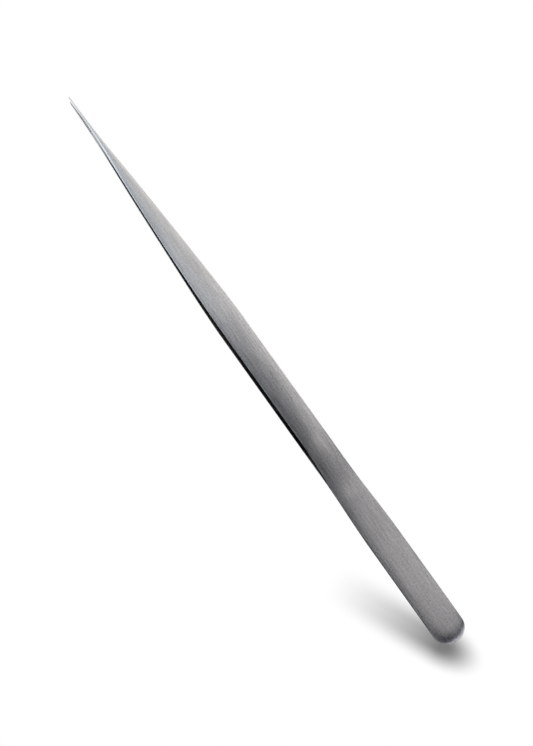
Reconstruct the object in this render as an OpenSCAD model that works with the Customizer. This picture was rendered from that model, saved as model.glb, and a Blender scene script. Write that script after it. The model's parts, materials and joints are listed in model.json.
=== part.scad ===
// Straight aquascaping tweezers: a matched pair of sprung steel arms, welded face to face at the
// handle, spread apart for the fingers and drawn in to needle tips that meet on grooved lands.
// X runs from the butt to the tips, Y across the arms and Z up. The tweezers lie on the outside of
// the lower arm, and the origin is on that surface at the middle of the length and of the width.

/* [Overall] */
// Length from the butt to the tips
length = 270; // [255:1:320]
// Thickness of the steel strip at the handle and the grip
strip_t = 1.5; // [1.2:0.1:2.2]

/* [Outline] */
// Width of the handle
handle_w = 13.2; // [11:0.1:16]
// Width of each arm at the grip
grip_w = 10.5; // [8:0.1:13]
// Distance from the butt to where the handle starts to narrow towards the grip
neck_start = 47; // [25:1:60]
// How the taper past the grip gathers pace towards the needle, where 1 is a straight taper
taper_bow = 1.45; // [1:0.05:2.4]

/* [Butt] */
// Length over which the butt is rounded in plan, as half of an ellipse
butt_round_l = 6; // [1:0.5:9]
// Length over which the faces of the butt roll over to its end
butt_roll_l = 8.5; // [2:0.5:12]
// Thickness of each arm at the very end of the butt
butt_edge_t = 0.4; // [0.3:0.1:1]

/* [Needle tips] */
// Length of the slender needle at each tip
needle_l = 26; // [20:1:32]
// Width of the needle where the taper runs into it
needle_root_w = 2.1; // [1.2:0.1:3]
// How the needle flares towards its root, where 1 is a straight needle
needle_bow = 1.6; // [1:0.05:2]
// Width of the point
point_w = 0.5; // [0.3:0.1:1]
// Thickness of each arm at the back of its gripping land
needle_t = 1.2; // [0.8:0.1:1.5]
// Thickness of the point
point_t = 0.7; // [0.4:0.1:1]

/* [Side profile] */
// Distance from the butt to where the arms part
handle_l = 68; // [60:1:75]
// Length of the bend that spreads the arms
bend_l = 30; // [20:1:34]
// Length of the straight stretch that the fingers hold
grip_l = 56; // [40:1:70]
// Length of the shoulder that draws the arms together again
shoulder_l = 44; // [25:1:50]
// Gap between the arms at the grip
grip_gap = 8.8; // [6.5:0.1:12]
// Gap between the arms where the shoulder ends
front_gap = 4.9; // [4:0.1:8]
// Gap between the arms at the back of the gripping lands
land_gap = 4.6; // [3:0.1:6]

/* [Cross section] */
// How far the face of the handle falls away towards its long edges
handle_crown = 0.7; // [0.1:0.05:0.75]
// Share of the handle's width that stays flat
handle_flat = 0.5; // [0.2:0.05:0.8]
// How far the face of the arm falls away towards its long edges
arm_crown = 0.45; // [0.1:0.05:0.7]
// Share of the arm's width that stays flat
arm_flat = 0.28; // [0.1:0.02:0.6]
// Radius of the outer long edges
edge_r = 0.3; // [0.1:0.05:0.4]
// Size of the bevel on the inner long edges
inner_bevel = 0.15; // [0.05:0.05:0.2]

/* [Gripping lands] */
// Length of the flat land inside each tip
land_l = 18; // [12:1:24]
// Length of the grooved part of the land
grooved_l = 14; // [6:1:16]
// Plain length between the point and the first groove
plain_point_l = 1.2; // [0.6:0.1:3]
// Distance from groove to groove
groove_pitch = 0.8; // [0.6:0.1:1.5]
// Width of each groove at its mouth
groove_w = 0.5; // [0.3:0.05:0.6]
// Depth of each groove
groove_depth = 0.2; // [0.1:0.05:0.3]
// Gap left between the lands when the arms are pinched shut
closed_gap = 0.1; // [0.05:0.05:0.3]

/* [Spring part] */
// Length of the handle plate: from its end to the end of the bend, the arm flexes
plate_l = 66; // [58:1:70]

/* [Spot welds] */
// Diameter of each weld
weld_d = 5; // [3:0.5:6]
// How far each weld reaches into each arm
weld_reach = 0.5; // [0.2:0.1:0.8]
// Number of welds
weld_count = 3; // [1:1:3]
// Distance from the butt to the first weld
first_weld = 14; // [10:1:16]
// Distance from weld to weld
weld_pitch = 20; // [8:1:21]

/* [Hidden] */
$fn = 64;

steel = [0.70, 0.71, 0.73];
sprung_steel = [0.62, 0.63, 0.66];
weld_grey = [0.50, 0.50, 0.52];

// Stations along the arm, measured from the butt
bend_end = handle_l + bend_l;
grip_end = bend_end + grip_l;
shoulder_end = grip_end + shoulder_l;
needle_start = length - needle_l;
land_start = length - land_l;

// Height of the plane midway between the arms, which puts the lower arm's grip on the surface
mid_z = grip_gap / 2 + strip_t;

// Share of the width that the blunt end of the butt starts from
blunt_share = 0.25;
// Steps along each stretch of an arm
roll_steps = 8;
plate_steps = 10;
spring_steps = 12;
shoulder_steps = 16;
taper_steps = 18;
land_steps = 8;
// Rings of points across the face, between the flat and the edge, and round the edge
crown_steps = 3;
edge_steps = 3;
// Extra depth of a cut past the face it starts from
cut_over = 0.3;

function clamp01(t) = min(max(t, 0), 1);

function ease(t) = let (u = clamp01(t)) u * u * (3 - 2 * u);

function mix(a, b, t) = a + (b - a) * t;

// Half of the gap between the arms, up to the gripping lands
function spread_at(x) =
    grip_gap / 2 * ease((x - handle_l) / bend_l)
    - (grip_gap - front_gap) / 2 * ease((x - grip_end) / shoulder_l)
    - (front_gap - land_gap) / 2 * clamp01((x - shoulder_end) / (land_start - shoulder_end));

// An arm turns about the middle of its flexing part
pivot_x = (plate_l + bend_end) / 2;
pivot_rise = spread_at(pivot_x) + strip_t / 2;

// Turn of one arm that brings its land to the middle, with half of the closed gap left
land_reach = land_start - pivot_x;
land_rise = land_gap / 2 - pivot_rise;
land_radius = sqrt(land_reach * land_reach + land_rise * land_rise);
close_angle = atan2(land_rise, land_reach) + asin((pivot_rise - closed_gap / 2) / land_radius);

echo(pivot_mm = [pivot_x - length / 2, 0, mid_z + pivot_rise], close_angle_deg = close_angle);

// Half of the gap everywhere: the lands lean out by the closing angle, so that they meet flat
function half_gap(x) = spread_at(x) + max(0, x - land_start) * tan(close_angle);

// How far the handle has turned into the grip: 0 up to the neck, 1 from the end of the bend
function neck_share(x) = ease((x - neck_start) / (bend_end - neck_start));

// Width of the strip before the butt is rounded
function strip_w(x) =
    x < grip_end ? mix(handle_w, grip_w, neck_share(x))
    : x < needle_start
    ? mix(grip_w, needle_root_w, pow((x - grip_end) / (needle_start - grip_end), taper_bow))
    : mix(point_w, needle_root_w, pow(clamp01((length - x) / needle_l), needle_bow));

// Share of the width left by the rounded butt, half of an ellipse with a blunt end
function butt_share(x) =
    let (u = (1 - clamp01(x / butt_round_l)) * sqrt(1 - blunt_share * blunt_share))
    sqrt(1 - u * u);

// Thickness of the strip, ground down to the needle and rolled over as a parabola at the butt
function thickness(x) =
    let (u = 1 - clamp01(x / butt_roll_l))
    x < grip_end ? strip_t - (strip_t - butt_edge_t) * u * u
    : x < land_start ? mix(strip_t, needle_t, (x - grip_end) / (land_start - grip_end))
    : mix(needle_t, point_t, (x - land_start) / land_l);

// Outer face of one side, from the flat to the long edge: a parabola that ends in a rounded edge
function outer_side(b, top, flat, crown, r) = [
    for (i = [0 : crown_steps + edge_steps])
        let (
            y = i <= crown_steps
                ? mix(flat, b - r, i / crown_steps)
                : b - r + r * sin(90 * (i - crown_steps) / edge_steps),
            fall = (y - flat) / (b - flat),
            round = max(0, y - b + r)
        )
        [y, top - crown * fall * fall - r + sqrt(max(0, r * r - round * round))]
];

// Closed outline of the upper arm across station x, seen along X, with heights from the middle plane
function section(x) =
    let (
        b = strip_w(x) / 2 * butt_share(x),
        low = half_gap(x),
        t = thickness(x),
        thin = t / strip_t,
        neck = neck_share(x),
        flat = b * mix(handle_flat, arm_flat, neck),
        crown = thin * mix(handle_crown, arm_crown, neck),
        bevel = thin * inner_bevel,
        side = outer_side(b, low + t, flat, crown, min(thin * edge_r, (b - flat) / 2)),
        right = concat(side, [[b, low + bevel], [b - bevel, low]])
    )
    concat(right, [for (i = [len(right) - 1 : -1 : 0]) [-right[i][0], right[i][1]]]);

// Solid of the upper arm through a list of stations
module arm(stations) {
    rings = [for (x = stations) section(x)];
    n = len(rings[0]);
    last = len(stations) - 1;
    points = [
        for (i = [0 : last])
            for (p = rings[i])
                [stations[i] - length / 2, p[0], mid_z + p[1]]
    ];
    sides = [
        for (i = [0 : last - 1])
            for (j = [0 : n - 1])
                let (a = i * n + j, b = i * n + (j + 1) % n)
                each [[a, b, a + n], [b, b + n, a + n]]
    ];
    back = [for (j = [n - 1 : -1 : 0]) j];
    front = [for (j = [0 : n - 1]) last * n + j];
    polyhedron(points = points, faces = concat(sides, [back, front]), convexity = 4);
}

// The lower arm is the upper one turned over about the middle plane
module turned_over() {
    translate([0, 0, 2 * mid_z])
        mirror([0, 0, 1])
            children();
}

// A row of welds, half of each height above the middle plane and half below
module welds() {
    for (i = [0 : weld_count - 1])
        translate([first_weld + i * weld_pitch - length / 2, 0, mid_z])
            cylinder(d = weld_d, h = 2 * weld_reach, center = true);
}

// Stretch of the arm that is welded to the other one, with seats for the welds
module handle_plate() {
    roll = [for (i = [0 : roll_steps]) butt_roll_l * pow(i / roll_steps, 2)];
    rest = [for (i = [1 : plate_steps]) mix(butt_roll_l, plate_l, i / plate_steps)];
    difference() {
        arm(concat(roll, rest));
        welds();
    }
}

// Stretch of the arm that bends when it is pinched
module leaf_spring() {
    arm([for (i = [0 : spring_steps]) mix(plate_l, bend_end, i / spring_steps)]);
}

// Straight stretch of the arm that the fingers press, the same all along
module finger_grip() {
    translate([bend_end - length / 2, 0, mid_z])
        rotate([90, 0, 90])
            linear_extrude(grip_l)
                polygon(section(bend_end));
}

// Stretch of the arm that tapers as it draws in towards the other one
module shoulder() {
    arm([for (i = [0 : shoulder_steps]) mix(grip_end, shoulder_end, i / shoulder_steps)]);
}

// Grooves across the gripping land
module grooves() {
    for (i = [0 : floor(grooved_l / groove_pitch)]) {
        x = length - plain_point_l - groove_w / 2 - i * groove_pitch;
        widening = cut_over / groove_depth;
        translate([x - length / 2, 0, mid_z + half_gap(x)])
            rotate([90, 0, 0])
                linear_extrude(needle_root_w + 2 * cut_over, center = true)
                    polygon([
                        [-groove_w / 2 * (1 + widening), -cut_over],
                        [groove_w / 2 * (1 + widening), -cut_over],
                        [0, groove_depth]
                    ]);
    }
}

// Front stretch of the arm: the rest of the taper and the needle with its grooved land
module tip() {
    taper = [for (i = [0 : taper_steps]) mix(shoulder_end, land_start, i / taper_steps)];
    land = [for (i = [1 : land_steps]) mix(land_start, length, i / land_steps)];
    difference() {
        arm(concat(taper, land));
        grooves();
    }
}

module upper_handle_plate() { color(steel) handle_plate(); }

module upper_leaf_spring() { color(sprung_steel) leaf_spring(); }

module upper_finger_grip() { color(steel) finger_grip(); }

module upper_shoulder() { color(steel) shoulder(); }

module upper_tip() { color(steel) tip(); }

module lower_handle_plate() { color(steel) turned_over() handle_plate(); }

module lower_leaf_spring() { color(sprung_steel) turned_over() leaf_spring(); }

module lower_finger_grip() { color(steel) turned_over() finger_grip(); }

module lower_shoulder() { color(steel) turned_over() shoulder(); }

module lower_tip() { color(steel) turned_over() tip(); }

module spot_welds() { color(weld_grey) welds(); }

upper_handle_plate();
upper_leaf_spring();
upper_finger_grip();
upper_shoulder();
upper_tip();
lower_handle_plate();
lower_leaf_spring();
lower_finger_grip();
lower_shoulder();
lower_tip();
spot_welds();
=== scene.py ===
"""Straight aquascaping tweezers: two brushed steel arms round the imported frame, with a floor and light.

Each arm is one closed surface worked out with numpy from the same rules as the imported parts, but much
finer: stations along the arm by points round its cross section. Lengths are in millimetres, and are turned
into metres where a mesh, a material, a lamp or the camera takes them. X runs from the butt to the points,
Y across the arms and Z up.
"""
import json
import math

import bpy
import numpy as np
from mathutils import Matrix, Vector


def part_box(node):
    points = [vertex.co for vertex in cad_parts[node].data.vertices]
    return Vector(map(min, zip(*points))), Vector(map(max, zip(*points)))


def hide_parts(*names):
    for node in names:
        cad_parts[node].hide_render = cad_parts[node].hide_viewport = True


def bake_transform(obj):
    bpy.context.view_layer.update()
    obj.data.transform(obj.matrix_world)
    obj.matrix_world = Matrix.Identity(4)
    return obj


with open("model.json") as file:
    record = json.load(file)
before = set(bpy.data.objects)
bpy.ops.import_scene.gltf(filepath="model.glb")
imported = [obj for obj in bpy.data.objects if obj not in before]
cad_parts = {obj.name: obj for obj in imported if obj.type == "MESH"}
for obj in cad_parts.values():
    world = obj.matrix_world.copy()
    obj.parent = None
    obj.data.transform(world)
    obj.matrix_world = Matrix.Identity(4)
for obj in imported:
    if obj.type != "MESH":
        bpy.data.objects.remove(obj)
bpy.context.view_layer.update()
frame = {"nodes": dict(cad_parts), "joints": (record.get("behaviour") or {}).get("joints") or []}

MM = 0.001


def span(node, axis):
    """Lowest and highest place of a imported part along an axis, in mm."""
    low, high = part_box(node)
    return low[axis] / MM, high[axis] / MM


# Places along the arms and sizes of the strip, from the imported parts
BUTT, PLATE_END = span("upper_handle_plate", 0)
BEND_END, GRIP_END = span("upper_finger_grip", 0)
SHOULDER_END, POINT = span("upper_tip", 0)
GRIP_INNER, GRIP_OUTER = span("upper_finger_grip", 2)
MID = (GRIP_INNER + span("lower_finger_grip", 2)[1]) / 2
STRIP_T = GRIP_OUTER - GRIP_INNER
HANDLE_W = 2 * span("upper_handle_plate", 1)[1]
GRIP_W = 2 * span("upper_finger_grip", 1)[1]
GRIP_SPREAD = GRIP_INNER - MID
FRONT_SPREAD = span("upper_shoulder", 2)[0] - MID
LAND_SPREAD = span("upper_tip", 2)[0] - MID
CLOSE_ANGLE = math.radians(frame["joints"][0]["range_deg"][1])

# Outline: the handle and its rounded butt, the taper past the grip, the needle and its point
HANDLE_L = 68
BUTT_TO_NECK = 47
BUTT_ROUND_L = 6
BLUNT_SHARE = 0.25
TAPER_BOW = 1.45
NEEDLE_L = 26
NEEDLE_ROOT_W = 2.1
NEEDLE_BOW = 1.6
POINT_W = 0.5
POINT_R = 0.2

# Thickness: the butt, which rolls over to a fine rim, and the needle
BUTT_ROLL_L = 8.5
BUTT_ROLL_BOW = 3
BUTT_ROLL_DEPTH = 0.65
BUTT_RIM_L = 2.0
BUTT_RIM_DEPTH = 0.65
BUTT_SIDES_L = 10
NEEDLE_T = 1.2
POINT_T = 0.7

# Cross section: how far and by what power the outer face falls away, and the long edges
HANDLE_CROWN = 0.42
HANDLE_BOW = 3.1
ARM_CROWN = 0.76
ARM_BOW = 1.9
NEEDLE_CROWN = 0.8
EDGE_R = 0.3
INNER_BEVEL = 0.15

# Gripping lands and their grooves
LAND_L = 18
LAND_BLEND_L = 16
GROOVED_L = 14
PLAIN_POINT_L = 1.2
GROOVE_PITCH = 0.8
GROOVE_W = 0.5
GROOVE_DEPTH = 0.2

# Places that follow from these sizes
BEND_START = BUTT + HANDLE_L
NECK_START = BUTT + BUTT_TO_NECK
NEEDLE_START = POINT - NEEDLE_L
LAND_START = POINT - LAND_L
FIRST_GROOVE = POINT - PLAIN_POINT_L - GROOVE_W / 2
GROOVES = FIRST_GROOVE - GROOVE_PITCH * np.arange(int(GROOVED_L / GROOVE_PITCH) + 1)

# Mesh: stations along the stretches of the arm
END_STATIONS = 8
ROLL_STATIONS = 40
ROLL_CROWDING = 1.6
HANDLE_STEP = 2.5
CURVE_STEP = 0.8
GRIP_STATIONS = 15
TAPER_STEP = 1.0
NEEDLE_STEP = 0.5
STATION_DECIMALS = 4

# Mesh: points round the cross section
FLAT_MARGIN = 0.03
BEVEL_STEPS = 4
WALL_SHARES = (0.2, 0.8)
EDGE_STEPS = 6
CROWN_STEPS = 16

# Names that the meshes and the steel share
STRIP_UV = "strip_mm"
# Attribute of the inner faces: their rolled finish, and the painted shade between the arms
ROLLED_AND_SHADED = "rolled_and_shaded"


def ease(t):
    """0 to 1 with level ends: t squared times (3 - 2t), held at the ends."""
    t = np.clip(t, 0, 1)
    return t * t * (3 - 2 * t)


def mix(a, b, t):
    """The value that lies a share t of the way from a to b."""
    return a + (b - a) * t


def rounded_off(depth, radius):
    """How far a quarter circle of this radius cuts in, at a depth behind the end that it rounds."""
    d = np.clip(radius - depth, 0, radius)
    return radius - np.sqrt(radius * radius - d * d)


def neck_share(x):
    """How far the handle has turned into the grip: 0 up to the neck, eased to 1 at the end of the bend."""
    return ease((x - NECK_START) / (BEND_END - NECK_START))


def butt_share(x):
    """How far back a place lies in the rounded butt: 0 where the rounding starts, just under 1 at its end,
    which leaves the end blunt."""
    return np.clip(1 - (x - BUTT) / BUTT_ROUND_L, 0, 1) * math.sqrt(1 - BLUNT_SHARE ** 2)


def spread(x):
    """Half of the gap between the arms: eased apart over the bend and together over the shoulder, then a
    straight line to the lands, which lean out by the closing angle so that they meet flat."""
    opened = GRIP_SPREAD * ease((x - BEND_START) / (BEND_END - BEND_START))
    drawn_in = (GRIP_SPREAD - FRONT_SPREAD) * ease((x - GRIP_END) / (SHOULDER_END - GRIP_END))
    straight = np.clip((x - SHOULDER_END) / (LAND_START - SHOULDER_END), 0, 1)
    lean = np.maximum(0, x - LAND_START) * math.tan(CLOSE_ANGLE)
    return opened - drawn_in - (FRONT_SPREAD - LAND_SPREAD) * straight + lean


def half_width(x):
    """Half of the width: the handle eased to the grip, a taper by a power to the needle and the needle by
    another power, all times half of an ellipse with a blunt end at the butt, less the rounded point."""
    body = mix(HANDLE_W, GRIP_W, neck_share(x))
    t = np.clip((x - GRIP_END) / (NEEDLE_START - GRIP_END), 0, 1)
    taper = mix(GRIP_W, NEEDLE_ROOT_W, t ** TAPER_BOW)
    needle = mix(POINT_W, NEEDLE_ROOT_W, np.clip((POINT - x) / NEEDLE_L, 0, 1) ** NEEDLE_BOW)
    width = np.where(x < GRIP_END, body, np.where(x < NEEDLE_START, taper, needle))
    return width / 2 * np.sqrt(1 - butt_share(x) ** 2) - rounded_off(POINT - x, POINT_R)


def thickness(x):
    """Thickness before the butt is rolled: full to the end of the grip, then straight lines to the lands
    and on to the point, less the rounded point."""
    ground = mix(STRIP_T, NEEDLE_T, (x - GRIP_END) / (LAND_START - GRIP_END))
    land = mix(NEEDLE_T, POINT_T, (x - LAND_START) / LAND_L)
    full = np.where(x < GRIP_END, STRIP_T, np.where(x < LAND_START, ground, land))
    return full - rounded_off(POINT - x, POINT_R)


def butt_roll(x, y):
    """How far the outer face is rolled down at the butt, by the distance in from its rounded outline: a
    power of the share of the roll still ahead, and a quarter of an ellipse at the rim. Along the sides of
    the handle the roll runs out."""
    from_outline = BUTT_ROUND_L * (1 - np.hypot(butt_share(x), 2 * y / HANDLE_W))
    inside = np.minimum(from_outline, x - BUTT)
    roll = BUTT_ROLL_DEPTH * np.clip(1 - inside / BUTT_ROLL_L, 0, 1) ** BUTT_ROLL_BOW
    rim = BUTT_RIM_DEPTH * rounded_off(np.maximum(inside, 0) / BUTT_RIM_L, 1)
    return (roll + rim) * (1 - ease((x - BUTT) / BUTT_SIDES_L))


def groove_cut(x):
    """Depth of the grooves across the land: a triangle at each groove's place."""
    away = np.abs(x[:, None] - GROOVES[None]).min(1)
    return GROOVE_DEPTH * np.clip(1 - away / (GROOVE_W / 2), 0, 1)


def stations():
    """Stations along the arm, close together where it curves, with three at each groove."""
    quarter = 1 - np.cos(np.linspace(0, math.pi / 2, END_STATIONS))
    rolling = np.linspace(0, 1, ROLL_STATIONS) ** ROLL_CROWDING
    rows = [
        BUTT + BUTT_RIM_L * quarter,
        BUTT + BUTT_RIM_L + (BUTT_SIDES_L - BUTT_RIM_L) * rolling,
        np.arange(BUTT + BUTT_SIDES_L, BEND_START, HANDLE_STEP),
        np.arange(BEND_START, BEND_END, CURVE_STEP),
        np.linspace(BEND_END, GRIP_END, GRIP_STATIONS),
        np.arange(GRIP_END, SHOULDER_END, CURVE_STEP),
        np.arange(SHOULDER_END, NEEDLE_START, TAPER_STEP),
        np.arange(NEEDLE_START, LAND_START, NEEDLE_STEP),
        np.concatenate([GROOVES - GROOVE_W / 2, GROOVES, GROOVES + GROOVE_W / 2]),
        [PLATE_END, LAND_START],
        POINT - POINT_R * quarter,
    ]
    return np.unique(np.round(np.concatenate(rows), STATION_DECIMALS))


def half_section(x):
    """Right half of the cross section at each station, from the middle of the inner face to the middle of
    the outer one: inner face, round bevel, side wall, round edge, then the outer face, which falls away
    from the middle by a power of the distance from it. Returns Y and the height above the middle plane,
    each as stations by points."""
    cut = groove_cut(x)[:, None]
    x = x[:, None]
    b, t, low, neck = half_width(x), thickness(x), spread(x), neck_share(x)
    thin = (t - butt_roll(x, b)) / STRIP_T
    bow = mix(HANDLE_BOW, ARM_BOW, neck)
    needle = ease((x - SHOULDER_END) / (NEEDLE_START - SHOULDER_END))
    crown = mix(mix(HANDLE_CROWN, ARM_CROWN, neck), NEEDLE_CROWN, needle) / STRIP_T
    edge = np.minimum(thin * EDGE_R, b / 2)
    bevel = np.minimum(thin * INNER_BEVEL, b / 4)
    inner = low + cut
    turn = np.linspace(0, math.pi / 2, BEVEL_STEPS + 1)[None]
    flat_end = b - bevel - np.minimum(FLAT_MARGIN, b / 8)
    inner_y = np.concatenate([0 * b, flat_end, b - bevel + bevel * np.sin(turn)], 1)
    inner_z = np.concatenate([inner, inner, inner + bevel * (1 - np.cos(turn))], 1)
    edge_y = b - edge + edge * np.cos(np.linspace(0, math.pi / 2, EDGE_STEPS + 1)[None])
    face_y = (b - edge) * np.sin(np.linspace(math.pi / 2, 0, CROWN_STEPS + 1))[None, 1:]
    outer_y = np.concatenate([edge_y, face_y], 1)
    past_face = np.clip(outer_y - b + edge, 0, edge)
    crowned = (t - butt_roll(x, outer_y)) * (1 - crown * (outer_y / b) ** bow)
    outer_z = low + crowned - edge + np.sqrt(edge * edge - past_face * past_face)
    wall_z = np.concatenate([mix(inner_z[:, -1:], outer_z[:, :1], share) for share in WALL_SHARES], 1)
    y = np.concatenate([inner_y, np.repeat(b, len(WALL_SHARES), 1), outer_y], 1)
    return y, np.concatenate([inner_z, wall_z, outer_z], 1)


def closed_grid(name, points, uv, rolled_and_shaded, flat_faces, mirrored):
    """Mesh of a grid of points, stations by ring points in mm, closed round the ring and capped at both
    ends, with its faces outwards. Its UV map holds the millimetres round the ring and along the arm, or
    across and up on the caps. Its attribute says how bare of brushing, as rolled, each point is, and how
    much painted shade between the arms darkens it."""
    n, m = points.shape[:2]
    i, j = np.meshgrid(np.arange(n - 1), np.arange(m), indexing="ij")
    k = (j + 1) % m
    quads = np.stack([i * m + j, i * m + k, (i + 1) * m + k, (i + 1) * m + j], -1).reshape(-1, 4)
    corners = np.stack([uv[i, j], uv[i, j + 1], uv[i + 1, j + 1], uv[i + 1, j]], -2).reshape(-1, 4, 2)
    caps = np.stack([np.arange(m)[::-1], (n - 1) * m + np.arange(m)])
    ends = np.stack([points[0, ::-1], points[-1]])
    cap_uv = np.stack([ends[..., 1], ends[..., 0] + ends[..., 2]], -1)
    if mirrored:
        quads, corners, caps, cap_uv = (order[:, ::-1] for order in (quads, corners, caps, cap_uv))
    mesh = bpy.data.meshes.new(name)
    mesh.from_pydata((points * MM).reshape(-1, 3).tolist(), [], quads.tolist() + caps.tolist())
    layer = mesh.uv_layers.new(name=STRIP_UV)
    layer.data.foreach_set("uv", np.concatenate([corners.reshape(-1), cap_uv.reshape(-1)]))
    # Per point: how rolled the finish is, and how much painted shade between the arms it takes
    rolled_and_shaded_layer = mesh.attributes.new(ROLLED_AND_SHADED, "FLOAT", "POINT")
    rolled_and_shaded_layer.data.foreach_set("value", rolled_and_shaded.reshape(-1).astype(np.float32))
    smooth = np.concatenate([~flat_faces.reshape(-1), [False, False]])
    mesh.polygons.foreach_set("use_smooth", smooth)
    mesh.update()
    piece = bpy.data.objects.new(name, mesh)
    bpy.context.scene.collection.objects.link(piece)
    return piece


def arm(name, side):
    """One arm: both halves of the section carried along the stations. The lower arm is the upper one turned
    over about the middle plane. The inner face is as rolled and darkened by painted shade between the arms,
    up to the ground land, whose grooved faces stay flat."""
    x = stations()
    y, z = half_section(x)
    ring_y = np.concatenate([y, -y[:, -2:0:-1]], 1)
    ring_z = np.concatenate([z, z[:, -2:0:-1]], 1)
    half_points, ring_points = y.shape[1], ring_y.shape[1]
    points = np.stack([np.repeat(x[:, None], ring_points, 1), ring_y, MID + side * ring_z], -1)
    closed = np.concatenate([points, points[:, :1]], 1)
    around = np.cumsum(np.linalg.norm(np.diff(closed[:, :, 1:], axis=1), axis=-1), 1)
    around = np.concatenate([np.zeros((len(x), 1)), around], 1)
    around -= around[:, half_points - 1][:, None]
    uv = np.stack([around, np.repeat(x[:, None], ring_points + 1, 1)], -1)
    inner_points = BEVEL_STEPS + 3
    brushed = np.zeros(half_points - inner_points)
    # Inner face and bevel: as rolled, and darkened by painted shade between the arms
    half_rolled_and_shaded = np.concatenate([[1, 1], np.linspace(1, 0, BEVEL_STEPS + 1), brushed])
    ring_rolled_and_shaded = np.concatenate([half_rolled_and_shaded, half_rolled_and_shaded[-2:0:-1]])
    before_land = 1 - ease((x - LAND_START) / LAND_BLEND_L + 1)
    grooved = (x[:-1] >= GROOVES.min() - GROOVE_W) & (x[:-1] < GROOVES.max() + GROOVE_W)
    inner_faces = np.zeros(ring_points, bool)
    inner_faces[:inner_points - 1] = True
    inner_faces[1 - inner_points:] = True
    return closed_grid(
        name, points, uv,
        rolled_and_shaded=before_land[:, None] * ring_rolled_and_shaded[None],
        flat_faces=grooved[:, None] & inner_faces[None],
        mirrored=side < 0,
    )


class Nodes:
    """Short way to add nodes to a material or a world and to join them."""

    def __init__(self, owner):
        owner.use_nodes = True
        self.tree = owner.node_tree
        self.tree.nodes.clear()

    def add(self, kind, inputs=(), **settings):
        """A node with its settings, whose inputs are values or the outputs of other nodes."""
        node = self.tree.nodes.new(kind)
        for key, value in settings.items():
            setattr(node, key, value)
        for key, value in dict(inputs).items():
            if isinstance(value, bpy.types.NodeSocket):
                self.tree.links.new(value, node.inputs[key])
            else:
                node.inputs[key].default_value = value
        return node

    def math(self, operation, a, b=0.0):
        """One operation on two values."""
        return self.add("ShaderNodeMath", {0: a, 1: b}, operation=operation).outputs[0]

    def ramp(self, value, low, high, to_low, to_high, smooth=False):
        """A value moved from one range to another and held at its ends, evenly or as a smooth step."""
        kind = "SMOOTHSTEP" if smooth else "LINEAR"
        wanted = {"Value": value, "From Min": low, "From Max": high, "To Min": to_low, "To Max": to_high}
        return self.add("ShaderNodeMapRange", wanted, interpolation_type=kind).outputs[0]

    def tint(self, share, dark, pale):
        """A colour a share of the way from a dark one to a pale one."""
        wanted = {"Factor": share, "A": (*dark, 1), "B": (*pale, 1)}
        return self.add("ShaderNodeMix", wanted, data_type="RGBA").outputs["Result"]

    def length(self, x, y):
        """Length of a flat offset."""
        offset = self.add("ShaderNodeCombineXYZ", {"X": x, "Y": y}).outputs[0]
        return self.add("ShaderNodeVectorMath", {0: offset}, operation="LENGTH").outputs["Value"]


# Noises in the steel: waves per millimetre across and along the arm, detail, and place in the noise
HAIRLINES = (9.0, 0.10, 3.0, 3.7)
STROKES = (2.3, 0.09, 2.0, 11.3)
SPECKLE = (1.8, 1.2, 1.0, 19.3)
CLOUDS = (0.25, 0.03, 1.0, 27.1)
NICKS = (1.7, 0.8, 2.0, 41.9)
NOISE_ROUGHNESS = 0.6
NOISE_MIDDLE = 0.5

# How much each noise moves the tone, and the level of its noise from which a nick shows
HAIRLINE_TONE = 0.35
STROKE_TONE = 0.8
SPECKLE_TONE = 0.6
CLOUD_TONE = 0.12
NICK_TONE = -0.22
NICK_FROM = 0.70
NICK_FULL = 0.78

# The steel: its colour at the middle tone, the shares of it at the ends of the tone, and its surface
STEEL = (0.615, 0.609, 0.617)
MIDDLE_TONE = 0.5
DARKEST = 0.5
PALEST = 1.5
ROUGHNESS = 0.37
GRAIN_ROUGHNESS = 0.12
GRAIN_BUMP = 0.6
GRAIN_DEPTH = 0.012
BRUSHED_SHEEN = 0.6

# What differs on the points and on the inner faces, whose darker tone is painted shade between the arms
POINT_GRAIN = 0.15
ROLLED_GRAIN = 0.35
PAINTED_GAP_SHADE = -0.42
ROLLED_ROUGHNESS = -0.2


def streaks(nodes, coords, across, along, detail, place):
    """Noise drawn out along the arm, by the waves per millimetre across and along it."""
    drawn = nodes.add(
        "ShaderNodeMapping",
        {"Vector": coords, "Location": (place, place, 0), "Scale": (across, along, 1)},
    ).outputs[0]
    return nodes.add(
        "ShaderNodeTexNoise",
        {"Vector": drawn, "Scale": 1.0, "Detail": detail, "Roughness": NOISE_ROUGHNESS},
        noise_dimensions="2D",
    ).outputs[0]


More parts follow.
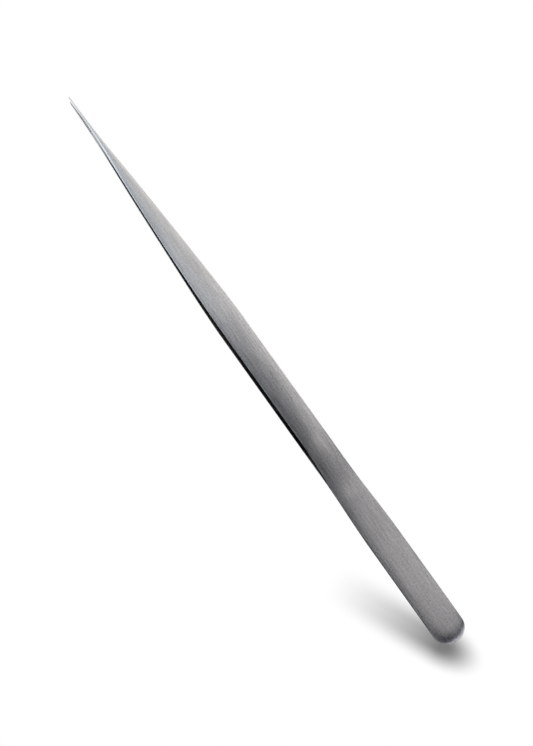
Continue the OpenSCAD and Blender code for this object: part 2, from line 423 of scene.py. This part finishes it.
def brushed_steel():
    """Stainless steel brushed along the strip, on the piece's own UV map. Fine hairlines and broader
    strokes, each a noise drawn out lengthwise, vary tone, roughness and height. Speckle, faint clouds and a
    few short nicks vary tone alone. Tone and height vary less on the points and on the inner faces, which
    are as rolled and smoother, and darker by painted shade between the arms."""
    material = bpy.data.materials.new("brushed_steel")
    nodes = Nodes(material)
    coords = nodes.add("ShaderNodeUVMap", uv_map=STRIP_UV).outputs[0]
    hairlines = streaks(nodes, coords, *HAIRLINES)
    strokes = streaks(nodes, coords, *STROKES)
    speckle = streaks(nodes, coords, *SPECKLE)
    clouds = streaks(nodes, coords, *CLOUDS)
    nicks = streaks(nodes, coords, *NICKS)
    # Inner faces: rolled finish, and painted shade between the arms
    rolled_and_shaded = nodes.add("ShaderNodeAttribute", attribute_name=ROLLED_AND_SHADED).outputs["Fac"]
    along = nodes.add("ShaderNodeSeparateXYZ", {0: coords}).outputs["Y"]
    strength = nodes.ramp(along, GRIP_END, NEEDLE_START, 1.0, POINT_GRAIN)
    strength = nodes.math("MULTIPLY", strength, nodes.ramp(rolled_and_shaded, 0.0, 1.0, 1.0, ROLLED_GRAIN))
    grain = nodes.math("SUBTRACT", nodes.math("ADD", hairlines, strokes), 2 * NOISE_MIDDLE)
    uneven = nodes.ramp(nicks, NICK_FROM, NICK_FULL, 0.0, NICK_TONE)
    tones = (
        (hairlines, HAIRLINE_TONE),
        (strokes, STROKE_TONE),
        (speckle, SPECKLE_TONE),
        (clouds, CLOUD_TONE),
    )
    for noise, share in tones:
        centred = nodes.math("SUBTRACT", noise, NOISE_MIDDLE)
        uneven = nodes.math("ADD", uneven, nodes.math("MULTIPLY", centred, share))
    tone = nodes.math("ADD", nodes.math("MULTIPLY", uneven, strength), MIDDLE_TONE)
    # Painted shade: the inner faces between the arms are darkened
    tone = nodes.math("ADD", tone, nodes.math("MULTIPLY", rolled_and_shaded, PAINTED_GAP_SHADE))
    roughness = nodes.math("ADD", nodes.math("MULTIPLY", grain, GRAIN_ROUGHNESS), ROUGHNESS)
    roughness = nodes.math("ADD", roughness, nodes.math("MULTIPLY", rolled_and_shaded, ROLLED_ROUGHNESS))
    height = nodes.math("MULTIPLY", grain, strength)
    bump = nodes.add(
        "ShaderNodeBump", {"Strength": GRAIN_BUMP, "Distance": GRAIN_DEPTH * MM, "Height": height}
    )
    tangent = nodes.add("ShaderNodeTangent", direction_type="UV_MAP", uv_map=STRIP_UV)
    dark = [channel * DARKEST for channel in STEEL]
    pale = [channel * PALEST for channel in STEEL]
    shader = nodes.add(
        "ShaderNodeBsdfPrincipled",
        {
            "Base Color": nodes.tint(tone, dark, pale),
            "Metallic": 1.0,
            "Roughness": roughness,
            "Anisotropic": BRUSHED_SHEEN,
            "Normal": bump.outputs[0],
            "Tangent": tangent.outputs[0],
        },
    )
    nodes.add("ShaderNodeOutputMaterial", {"Surface": shader.outputs[0]})
    return material


# Spot welds: greys, waves of the mottle per millimetre, roughness and bump
WELD_DARK = (0.30, 0.29, 0.29)
WELD_PALE = (0.52, 0.52, 0.55)
WELD_MOTTLE = 1.5
WELD_DETAIL = 4.0
WELD_SMOOTHEST = 0.45
WELD_ROUGHEST = 0.65
WELD_BUMP = 0.4
WELD_BUMP_DEPTH = 0.1


def weld_steel():
    """Dull grey metal of the spot welds, mottled by noise on Object coordinates."""
    material = bpy.data.materials.new("weld_steel")
    nodes = Nodes(material)
    coords = nodes.add("ShaderNodeTexCoord").outputs["Object"]
    mottle = nodes.add(
        "ShaderNodeTexNoise", {"Vector": coords, "Scale": WELD_MOTTLE / MM, "Detail": WELD_DETAIL}
    ).outputs[0]
    bump = nodes.add(
        "ShaderNodeBump", {"Strength": WELD_BUMP, "Distance": WELD_BUMP_DEPTH * MM, "Height": mottle}
    )
    shader = nodes.add(
        "ShaderNodeBsdfPrincipled",
        {
            "Base Color": nodes.tint(mottle, WELD_DARK, WELD_PALE),
            "Metallic": 1.0,
            "Roughness": nodes.ramp(mottle, 0.0, 1.0, WELD_SMOOTHEST, WELD_ROUGHEST),
            "Normal": bump.outputs[0],
        },
    )
    nodes.add("ShaderNodeOutputMaterial", {"Surface": shader.outputs[0]})
    return material


def build_tweezers():
    """Both arms, each one strip from the butt to the point bent over its leaf spring, in place of the
    imported stretches, and the spot welds.
    """
    steel = brushed_steel()
    for name, side in (("upper", 1), ("lower", -1)):
        piece = arm(f"{name}_arm_strip", side)
        piece.data.materials.append(steel)
        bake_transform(piece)
        stretches = ("handle_plate", "leaf_spring", "finger_grip", "shoulder", "tip")
        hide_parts(*[f"{name}_{stretch}" for stretch in stretches])
    welds = frame["nodes"]["spot_welds"]
    welds.data.materials.clear()
    welds.data.materials.append(weld_steel())


# Floor
FLOOR_SIZE = 16000
FLOOR_GREY = 0.9

# Painted shadow at the butt: its start, its turn from X in degrees, its breadth, its length and its depth
SHADE_START = (-132, 5.2)
SHADE_TURN = 24.8
SHADE_CORE = 1.5
SHADE_WIDTH = 10.7
SHADE_ROUNDNESS = 0.55
SHADE_LENGTH = 49.3
SHADE_FADE = 1.27
SHADE_DEPTH = 0.79

# Shade right under the arms: its reach, the taper of the outline, and the shares of it where the shade fades
CONTACT_REACH = 12
CONTACT_SAMPLES = 8
CONTACT_SLOPE = 0.045
CONTACT_FULL = 0.3
CONTACT_GONE = 0.75
LEAST_OUTLINE = 0.01

# The floor in reflections: the dark stretch of painted shade on the near side, and how it turns to white
DARK_FROM = -95
DARK_TO = 45
DARK_NEAR = 90
WHITE_FAR = 380
ENDS_SHARPER = 4
FAR_EDGE = 40


def painted_butt_shadow(nodes, place):
    """Painted shadow on the floor: a soft streak that starts below the butt and fades as it runs off at an
    angle, as if the points were held up. It is a smooth step of the distance from its middle line times a
    power of the way left."""
    turned = nodes.add(
        "ShaderNodeMapping",
        {
            "Vector": place,
            "Location": (SHADE_START[0] * MM, SHADE_START[1] * MM, 0),
            "Rotation": (0, 0, math.radians(SHADE_TURN)),
            "Scale": (MM, MM, MM),
        },
        vector_type="TEXTURE",
    ).outputs[0]
    along, aside, _ = nodes.add("ShaderNodeSeparateXYZ", {0: turned}).outputs
    behind = nodes.math("MULTIPLY", nodes.math("MINIMUM", along, 0.0), SHADE_ROUNDNESS)
    away = nodes.length(behind, aside)
    depth = nodes.ramp(away, SHADE_CORE, SHADE_WIDTH, SHADE_DEPTH, 0.0, smooth=True)
    left = nodes.math("POWER", nodes.ramp(along, 0.0, SHADE_LENGTH, 1.0, 0.0), SHADE_FADE)
    return nodes.math("MULTIPLY", depth, left)


def contact_shade(nodes, x, y):
    """Shade right under the tweezers: how much of the sky they hide there, kept within the arms' outline,
    which the lesser of the grip's width and a straight taper to the points stands for."""
    reach = {"Distance": CONTACT_REACH * MM}
    open_share = nodes.add("ShaderNodeAmbientOcclusion", reach, samples=CONTACT_SAMPLES).outputs["AO"]
    taper = nodes.math("MULTIPLY", nodes.math("SUBTRACT", POINT * MM, x), CONTACT_SLOPE)
    outline = nodes.math("MINIMUM", nodes.math("MAXIMUM", taper, 0.0), GRIP_W / 2 * MM)
    outline = nodes.math("MAXIMUM", outline, LEAST_OUTLINE * MM)
    beside = nodes.math("DIVIDE", nodes.math("ABSOLUTE", y), outline)
    under = nodes.ramp(beside, CONTACT_FULL, CONTACT_GONE, 1.0, 0.0, smooth=True)
    return nodes.math("MULTIPLY", nodes.math("SUBTRACT", 1.0, open_share), under)


def mirrored_level(nodes, x, y):
    """How bright the floor is in reflections: white on the far side and past the ends, and on the near side
    dark close to the tweezers, a painted shade, rising to white away from them."""
    middle = nodes.math("ABSOLUTE", nodes.math("SUBTRACT", x, (DARK_FROM + DARK_TO) / 2 * MM))
    past_end = nodes.math("MAXIMUM", nodes.math("SUBTRACT", middle, (DARK_TO - DARK_FROM) / 2 * MM), 0.0)
    apart = nodes.length(nodes.math("MULTIPLY", past_end, ENDS_SHARPER), y)
    near_side = nodes.ramp(apart, DARK_NEAR * MM, WHITE_FAR * MM, 0.0, 1.0, smooth=True)
    far_side = nodes.ramp(y, -FAR_EDGE * MM, 0.0, 1.0, 0.0, smooth=True)
    return nodes.math("MAXIMUM", near_side, far_side)


def build_floor():
    """A white floor with the tweezers' shade on it: a painted shadow at the butt, the shade right under the
    arms, and painted shade near them that reflections see. It gives its own light to the camera and to
    reflections, and is a plain pale surface to all other light."""
    half = FLOOR_SIZE / 2 * MM
    corners = [(-half, -half, 0), (half, -half, 0), (half, half, 0), (-half, half, 0)]
    mesh = bpy.data.meshes.new("floor")
    mesh.from_pydata(corners, [], [(0, 1, 2, 3)])
    floor = bpy.data.objects.new("floor", mesh)
    bpy.context.scene.collection.objects.link(floor)
    material = bpy.data.materials.new("floor_white")
    nodes = Nodes(material)
    place = nodes.add("ShaderNodeTexCoord").outputs["Object"]
    x, y, _ = nodes.add("ShaderNodeSeparateXYZ", {0: place}).outputs
    shade = nodes.math("MAXIMUM", painted_butt_shadow(nodes, place), contact_shade(nodes, x, y))
    rays = nodes.add("ShaderNodeLightPath").outputs
    seen_level = nodes.math("SUBTRACT", 1.0, shade)
    level = nodes.add(
        "ShaderNodeMix",
        {"Factor": rays["Is Camera Ray"], "A": mirrored_level(nodes, x, y), "B": seen_level},
        data_type="FLOAT",
    ).outputs["Result"]
    white = nodes.add("ShaderNodeEmission", {"Color": (1, 1, 1, 1), "Strength": level})
    lit = nodes.add("ShaderNodeBsdfDiffuse", {"Color": (FLOOR_GREY, FLOOR_GREY, FLOOR_GREY, 1)})
    seen = nodes.math("MAXIMUM", rays["Is Camera Ray"], rays["Is Glossy Ray"])
    seen = nodes.math("MAXIMUM", seen, rays["Is Transmission Ray"])
    both = nodes.add("ShaderNodeMixShader", {0: seen, 1: lit.outputs[0], 2: white.outputs[0]})
    nodes.add("ShaderNodeOutputMaterial", {"Surface": both.outputs[0]})
    material.cycles.emission_sampling = "NONE"
    mesh.materials.append(material)


# Room: its level in reflections, and the backdrop's, which fades between two heights of the direction, each
# the sine of its rise above the floor
ROOM_LEVEL = 0.02
BACKDROP_LEVEL = 0.6
BACKDROP_FROM = 0.14
BACKDROP_TO = 0.42

# Tints of the room and of the lamps
DUSK = (0.45, 0.6, 1.0)
WHITE = (1, 1, 1)
WARM = (1.0, 0.975, 0.93)
ROSY = (1.0, 0.97, 0.95)
PALE_BLUE = (0.97, 0.985, 1.0)
BLUE = (0.76, 0.89, 1.0)
VIOLET = (0.87, 0.87, 1.0)


def softbox(name, place, size, level, colour):
    """A rectangular lamp at a place in mm that faces the tweezers, width and height in mm. Its level is how
    bright it looks, where 1 is white."""
    lamp = bpy.data.lights.new(name, "AREA")
    lamp.shape = "RECTANGLE"
    lamp.size, lamp.size_y = (length * MM for length in size)
    lamp.energy = level * math.pi * lamp.size * lamp.size_y
    lamp.color = colour
    box = bpy.data.objects.new(name, lamp)
    box.location = Vector(place) * MM
    box.rotation_euler = (Vector((0, 0, MID)) - Vector(place)).to_track_quat("-Z", "Y").to_euler()
    box.visible_camera = False
    bpy.context.scene.collection.objects.link(box)


def build_light():
    """Softboxes round the tweezers in a dark room. A pale backdrop rises from the floor and fades upwards,
    and the room is white to the camera like the floor."""
    world = bpy.data.worlds.new("studio")
    nodes = Nodes(world)
    rays = nodes.add("ShaderNodeLightPath").outputs
    direction = nodes.add("ShaderNodeTexCoord").outputs["Generated"]
    rise = nodes.add("ShaderNodeSeparateXYZ", {0: direction}).outputs["Z"]
    backdrop = nodes.ramp(rise, BACKDROP_FROM, BACKDROP_TO, BACKDROP_LEVEL, 0.0, smooth=True)
    pale = nodes.math("MAXIMUM", rays["Is Camera Ray"], backdrop)
    room = nodes.add("ShaderNodeBackground", {"Color": (*DUSK, 1), "Strength": ROOM_LEVEL})
    white = nodes.add("ShaderNodeBackground", {"Color": (*WHITE, 1), "Strength": 1.0})
    both = nodes.add("ShaderNodeMixShader", {0: pale, 1: room.outputs[0], 2: white.outputs[0]})
    nodes.add("ShaderNodeOutputWorld", {"Surface": both.outputs[0]})
    world.cycles.sampling_method = "NONE"
    bpy.context.scene.world = world
    softbox("over_grip", (100, -262, 612), (95, 237), 0.3, VIOLET)
    softbox("over_tip", (123, 14, 130), (107, 202), 0.83, PALE_BLUE)
    softbox("far_side", (142, -282, 199), (254, 414), 1.09, WARM)
    softbox("near_tip", (427, 553, 214), (419, 424), 2.1, BLUE)
    softbox("over_handle", (-64, -145, 332), (123, 352), 0.58, ROSY)
    softbox("behind", (-339, -289, 639), (857, 117), 0.4, WHITE)
    softbox("near_side", (-150, 330, 172), (160, 180), 0.8, VIOLET)
    softbox("handle_top", (-90, -22, 141), (80, 69), 0.18, ROSY)
    softbox("over_bend", (-90, -162, 890), (120, 120), 1.6, ROSY)
    softbox("butt_end", (-400, -120, 160), (460, 300), 0.6, VIOLET)


# Camera: degrees round the tweezers and up from the floor, its distance, and what it looks at
CAMERA_AZIMUTH = 235.306
CAMERA_ELEVATION = 75
CAMERA_AWAY = 1000
CAMERA_AIM = (-5.55, -0.4, 5.9)
CLIP_START = 10

# Lens: its focal length in pixels of the picture, the picture's long side, and the sensor's
FOCAL_PIXELS = 2525.4
PHOTO_LONG_SIDE = 746
SENSOR_W = 36


def build_camera():
    """The camera at the photograph's viewing angle."""
    data = bpy.data.cameras.new("camera")
    data.sensor_width = SENSOR_W
    data.lens = FOCAL_PIXELS / PHOTO_LONG_SIDE * SENSOR_W
    data.clip_start = CLIP_START * MM
    camera = bpy.data.objects.new("camera", data)
    a, e = math.radians(CAMERA_AZIMUTH), math.radians(CAMERA_ELEVATION)
    back = Vector((math.sin(a) * math.cos(e), -math.cos(a) * math.cos(e), math.sin(e)))
    camera.location = (Vector(CAMERA_AIM) + back * CAMERA_AWAY) * MM
    camera.rotation_euler = (-back).to_track_quat("-Z", "Y").to_euler()
    bpy.context.scene.collection.objects.link(camera)
    bpy.context.scene.camera = camera


build_tweezers()
build_floor()
build_light()
build_camera()
bpy.context.scene.view_settings.view_transform = "Standard"
